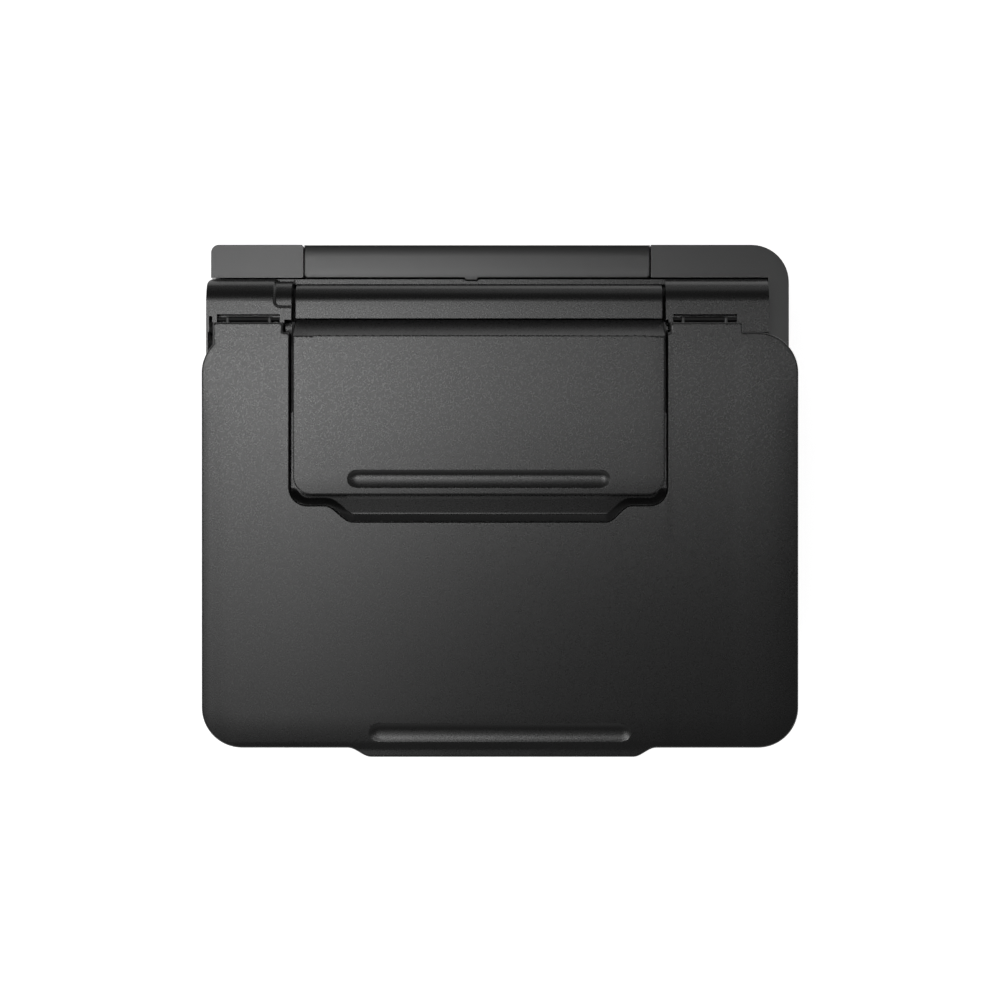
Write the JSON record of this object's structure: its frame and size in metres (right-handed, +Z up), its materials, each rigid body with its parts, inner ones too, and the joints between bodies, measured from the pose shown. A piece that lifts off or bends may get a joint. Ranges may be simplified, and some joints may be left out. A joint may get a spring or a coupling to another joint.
{
  "type": "inkjet printer",
  "caption": "All-in-one inkjet printer with flatbed scanner, top document feeder, rear tray, front paper cassette and output tray.",
  "frame": {"origin": "middle of the bounding box, on the table under the feet", "axes": "+X to the right seen from the front, -Y towards the user at the front, +Z up"},
  "size_m": [0.403, 0.3516, 0.193],
  "materials": {
    "bottom_case": "satin moulded",
    "rubber_feet": "matte",
    "left_side_cover": "satin moulded",
    "right_side_cover": "satin moulded",
    "front_bezel": "satin moulded",
    "rear_panel": "satin moulded",
    "transport_cover": "satin moulded",
    "rear_sockets": "satin moulded",
    "power_supply": "zinc plated sheet and steel",
    "chassis": "zinc plated sheet and steel",
    "platen": "satin moulded",
    "pinch_roller_holder": "satin moulded",
    "drive_motors": "zinc plated sheet and steel",
    "carriage_belt": "matte",
    "purge_unit": "satin moulded",
    "rear_feed_ramp": "satin moulded",
    "feed_roller": "matte",
    "feed_idler_gear": "natural acetal",
    "feed_pinion": "turned",
    "eject_roller": "matte",
    "motor_pulley": "natural acetal",
    "idler_pulley": "natural acetal",
    "carriage": "satin moulded",
    "ink_cartridges": "satin moulded",
    "cassette_tray": "satin moulded",
    "cassette_guide_left": "satin moulded",
    "cassette_guide_right": "satin moulded",
    "cassette_length_guide": "satin moulded",
    "pickup_arm": "satin moulded",
    "pickup_roller": "matte",
    "rear_pickup_roller": "matte",
    "rear_guide_left": "satin moulded",
    "rear_guide_right": "satin moulded",
    "output_tray": "satin moulded",
    "output_extension": "satin moulded",
    "output_cover": "satin moulded",
    "paper_support": "satin moulded",
    "rear_tray_cover": "satin moulded",
    "operation_panel": "satin moulded",
    "display": "glossy window",
    "power_button": "silver",
    "back_button": "satin",
    "arrow_pad": "satin",
    "ok_button": "satin",
    "stop_button": "satin",
    "black_start_button": "satin",
    "colour_start_button": "satin",
    "scanner_base": "satin moulded",
    "scanner_frame": "satin moulded",
    "platen_glass": "polished",
    "cis_carriage": "satin moulded",
    "lid_cover": "satin moulded",
    "lid_base": "satin moulded",
    "pressure_sheet": "soft white foam sheet",
    "adf_frame": "satin moulded",
    "adf_pickup_roller": "matte",
    "feeder_cover": "satin moulded",
    "document_tray": "satin moulded",
    "document_guide_left": "satin moulded",
    "document_guide_right": "satin moulded"
  },
  "bodies": {
    "case": {"bottom_case": "bottom_case", "rubber_feet": "rubber_feet", "left_side_cover": "left_side_cover", "right_side_cover": "right_side_cover", "front_bezel": "front_bezel", "rear_panel": "rear_panel", "rear_sockets": "rear_sockets", "power_supply": "power_supply", "chassis": "chassis", "platen": "platen", "pinch_roller_holder": "pinch_roller_holder", "drive_motors": "drive_motors", "carriage_belt": "carriage_belt", "purge_unit": "purge_unit", "rear_feed_ramp": "rear_feed_ramp"},
    "feed_roller": {"feed_roller": "feed_roller"},
    "feed_idler_gear": {"feed_idler_gear": "feed_idler_gear"},
    "feed_pinion": {"feed_pinion": "feed_pinion"},
    "eject_roller": {"eject_roller": "eject_roller"},
    "motor_pulley": {"motor_pulley": "motor_pulley"},
    "idler_pulley": {"idler_pulley": "idler_pulley"},
    "carriage": {"carriage": "carriage", "ink_cartridges": "ink_cartridges"},
    "cassette": {"cassette_tray": "cassette_tray"},
    "cassette_guide_left": {"cassette_guide_left": "cassette_guide_left"},
    "cassette_guide_right": {"cassette_guide_right": "cassette_guide_right"},
    "cassette_length_guide": {"cassette_length_guide": "cassette_length_guide"},
    "pickup_arm": {"pickup_arm": "pickup_arm"},
    "pickup_roller": {"pickup_roller": "pickup_roller"},
    "rear_pickup_roller": {"rear_pickup_roller": "rear_pickup_roller"},
    "rear_guide_left": {"rear_guide_left": "rear_guide_left"},
    "rear_guide_right": {"rear_guide_right": "rear_guide_right"},
    "output_tray": {"output_tray": "output_tray"},
    "output_extension": {"output_extension": "output_extension"},
    "output_cover": {"output_cover": "output_cover"},
    "paper_support": {"paper_support": "paper_support"},
    "rear_tray_cover": {"rear_tray_cover": "rear_tray_cover"},
    "operation_panel": {"operation_panel": "operation_panel", "display": "display"},
    "power_button": {"power_button": "power_button"},
    "back_button": {"back_button": "back_button"},
    "arrow_pad": {"arrow_pad": "arrow_pad"},
    "ok_button": {"ok_button": "ok_button"},
    "stop_button": {"stop_button": "stop_button"},
    "black_start_button": {"black_start_button": "black_start_button"},
    "colour_start_button": {"colour_start_button": "colour_start_button"},
    "transport_cover": {"transport_cover": "transport_cover"},
    "scanner": {"scanner_base": "scanner_base", "scanner_frame": "scanner_frame", "platen_glass": "platen_glass"},
    "scan_bar": {"cis_carriage": "cis_carriage"},
    "lid": {"lid_cover": "lid_cover", "lid_base": "lid_base", "pressure_sheet": "pressure_sheet", "adf_frame": "adf_frame", "feeder_cover": "feeder_cover"},
    "adf_pickup_roller": {"adf_pickup_roller": "adf_pickup_roller"},
    "document_tray": {"document_tray": "document_tray"},
    "document_guide_left": {"document_guide_left": "document_guide_left"},
    "document_guide_right": {"document_guide_right": "document_guide_right"}
  },
  "joints": [
    {"name": "feed_spin", "type": "hinge", "parent": "case", "child": "feed_roller", "pos_m": [-0.015, 0.04, 0.062], "axis": [1, 0, 0], "continuous": true},
    {"name": "idler_spin", "type": "hinge", "parent": "case", "child": "feed_idler_gear", "pos_m": [-0.148, 0.01375, 0.062], "axis": [1, 0, 0], "continuous": true},
    {"name": "pinion_spin", "type": "hinge", "parent": "case", "child": "feed_pinion", "pos_m": [-0.148, 0.04, 0.0395], "axis": [1, 0, 0], "continuous": true},
    {"name": "eject_spin", "type": "hinge", "parent": "case", "child": "eject_roller", "pos_m": [-0.015, -0.0035, 0.062], "axis": [1, 0, 0], "continuous": true},
    {"name": "carriage_slide", "type": "slide", "parent": "case", "child": "carriage", "axis": [1, 0, 0], "range_m": [-0.262, 0]},
    {"name": "motor_pulley_spin", "type": "hinge", "parent": "case", "child": "motor_pulley", "pos_m": [-0.18, 0.06, 0.101], "axis": [0, 1, 0], "range_deg": [0, 2400]},
    {"name": "idler_pulley_spin", "type": "hinge", "parent": "case", "child": "idler_pulley", "pos_m": [0.18, 0.06, 0.101], "axis": [0, 1, 0], "range_deg": [0, 2400]},
    {"name": "cassette_slide", "type": "slide", "parent": "case", "child": "cassette", "axis": [0, -1, 0], "range_m": [0, 0.2]},
    {"name": "cassette_guide_left_slide", "type": "slide", "parent": "cassette", "child": "cassette_guide_left", "axis": [1, 0, 0], "range_m": [0, 0.05]},
    {"name": "cassette_guide_right_slide", "type": "slide", "parent": "cassette", "child": "cassette_guide_right", "axis": [1, 0, 0], "range_m": [-0.05, 0]},
    {"name": "length_guide_slide", "type": "slide", "parent": "cassette", "child": "cassette_length_guide", "axis": [0, 1, 0], "range_m": [0, 0.06]},
    {"name": "pickup_arm_hinge", "type": "hinge", "parent": "case", "child": "pickup_arm", "pos_m": [-0.015, 0.058, 0.05], "axis": [1, 0, 0], "range_deg": [0, 8]},
    {"name": "pickup_spin", "type": "hinge", "parent": "pickup_arm", "child": "pickup_roller", "pos_m": [-0.015, 0.098, 0.027], "axis": [1, 0, 0], "continuous": true},
    {"name": "rear_pickup_spin", "type": "hinge", "parent": "case", "child": "rear_pickup_roller", "pos_m": [-0.015, 0.112, 0.102], "axis": [1, 0, 0], "continuous": true},
    {"name": "rear_guide_left_slide", "type": "slide", "parent": "case", "child": "rear_guide_left", "axis": [1, 0, 0], "range_m": [0, 0.06]},
    {"name": "rear_guide_right_slide", "type": "slide", "parent": "case", "child": "rear_guide_right", "axis": [1, 0, 0], "range_m": [-0.06, 0]},
    {"name": "output_tray_slide", "type": "slide", "parent": "case", "child": "output_tray", "axis": [0, -1, 0], "range_m": [0, 0.12]},
    {"name": "output_extension_slide", "type": "slide", "parent": "output_tray", "child": "output_extension", "axis": [0, -1, 0], "range_m": [0, 0.08]},
    {"name": "output_cover_hinge", "type": "hinge", "parent": "case", "child": "output_cover", "pos_m": [-0.015, -0.1642, 0.0614], "axis": [1, 0, 0], "range_deg": [0, 90]},
    {"name": "paper_support_hinge", "type": "hinge", "parent": "case", "child": "paper_support", "pos_m": [-0.016, 0.1728, 0.091], "axis": [1, 0, 0], "range_deg": [-25, 0]},
    {"name": "rear_tray_cover_slide", "type": "slide", "parent": "paper_support", "child": "rear_tray_cover", "axis": [0, 0, -1], "range_m": [-0.036, 0]},
    {"name": "panel_hinge", "type": "hinge", "parent": "case", "child": "operation_panel", "pos_m": [-0.078, -0.1625, 0.1199], "axis": [-1, 0, 0], "range_deg": [0, 60]},
    {"name": "power_button_press", "type": "slide", "parent": "operation_panel", "child": "power_button", "axis": [0, 1, 0], "range_m": [0, 0.0007], "stiffness_N_per_m": 400},
    {"name": "back_button_press", "type": "slide", "parent": "operation_panel", "child": "back_button", "axis": [0, 1, 0], "range_m": [0, 0.0007], "stiffness_N_per_m": 400},
    {"name": "arrow_pad_press", "type": "slide", "parent": "operation_panel", "child": "arrow_pad", "axis": [0, 1, 0], "range_m": [0, 0.0007], "stiffness_N_per_m": 400},
    {"name": "ok_button_press", "type": "slide", "parent": "operation_panel", "child": "ok_button", "axis": [0, 1, 0], "range_m": [0, 0.0007], "stiffness_N_per_m": 400},
    {"name": "stop_button_press", "type": "slide", "parent": "operation_panel", "child": "stop_button", "axis": [0, 1, 0], "range_m": [0, 0.0007], "stiffness_N_per_m": 400},
    {"name": "black_start_button_press", "type": "slide", "parent": "operation_panel", "child": "black_start_button", "axis": [0, 1, 0], "range_m": [0, 0.0007], "stiffness_N_per_m": 400},
    {"name": "colour_start_button_press", "type": "slide", "parent": "operation_panel", "child": "colour_start_button", "axis": [0, 1, 0], "range_m": [0, 0.0007], "stiffness_N_per_m": 400},
    {"name": "transport_cover_pull", "type": "slide", "parent": "case", "child": "transport_cover", "axis": [0, 1, 0], "range_m": [0, 0.08]},
    {"name": "scanner_hinge", "type": "hinge", "parent": "case", "child": "scanner", "pos_m": [0, 0.1475, 0.1465], "axis": [-1, 0, 0], "range_deg": [0, 25]},
    {"name": "scan_bar_slide", "type": "slide", "parent": "scanner", "child": "scan_bar", "axis": [1, 0, 0], "range_m": [0, 0.275]},
    {"name": "lid_hinge", "type": "hinge", "parent": "scanner", "child": "lid", "pos_m": [0, 0.122, 0.1686], "axis": [-1, 0, 0], "range_deg": [0, 70]},
    {"name": "adf_spin", "type": "hinge", "parent": "lid", "child": "adf_pickup_roller", "pos_m": [-0.0142, 0.084, 0.17], "axis": [1, 0, 0], "continuous": true},
    {"name": "document_tray_hinge", "type": "hinge", "parent": "lid", "child": "document_tray", "pos_m": [-0.0142, 0.1135, 0.177], "axis": [-1, 0, 0], "range_deg": [0, 100]},
    {"name": "document_guide_left_slide", "type": "slide", "parent": "document_tray", "child": "document_guide_left", "axis": [-1, 0, 0], "range_m": [0, 0.025]},
    {"name": "document_guide_right_slide", "type": "slide", "parent": "document_tray", "child": "document_guide_right", "axis": [1, 0, 0], "range_m": [0, 0.025]}
  ],
  "couplings": [
    {"joint": "idler_spin", "follows": "feed_spin", "ratio": -2.1818},
    {"joint": "pinion_spin", "follows": "feed_spin", "ratio": -4},
    {"joint": "eject_spin", "follows": "feed_spin", "ratio": 2},
    {"joint": "motor_pulley_spin", "follows": "carriage_slide", "rad_per_m": -149.25},
    {"joint": "idler_pulley_spin", "follows": "carriage_slide", "rad_per_m": -149.25},
    {"joint": "cassette_guide_right_slide", "follows": "cassette_guide_left_slide", "ratio": -1},
    {"joint": "rear_guide_right_slide", "follows": "rear_guide_left_slide", "ratio": -1},
    {"joint": "document_guide_right_slide", "follows": "document_guide_left_slide", "ratio": 1}
  ]
}
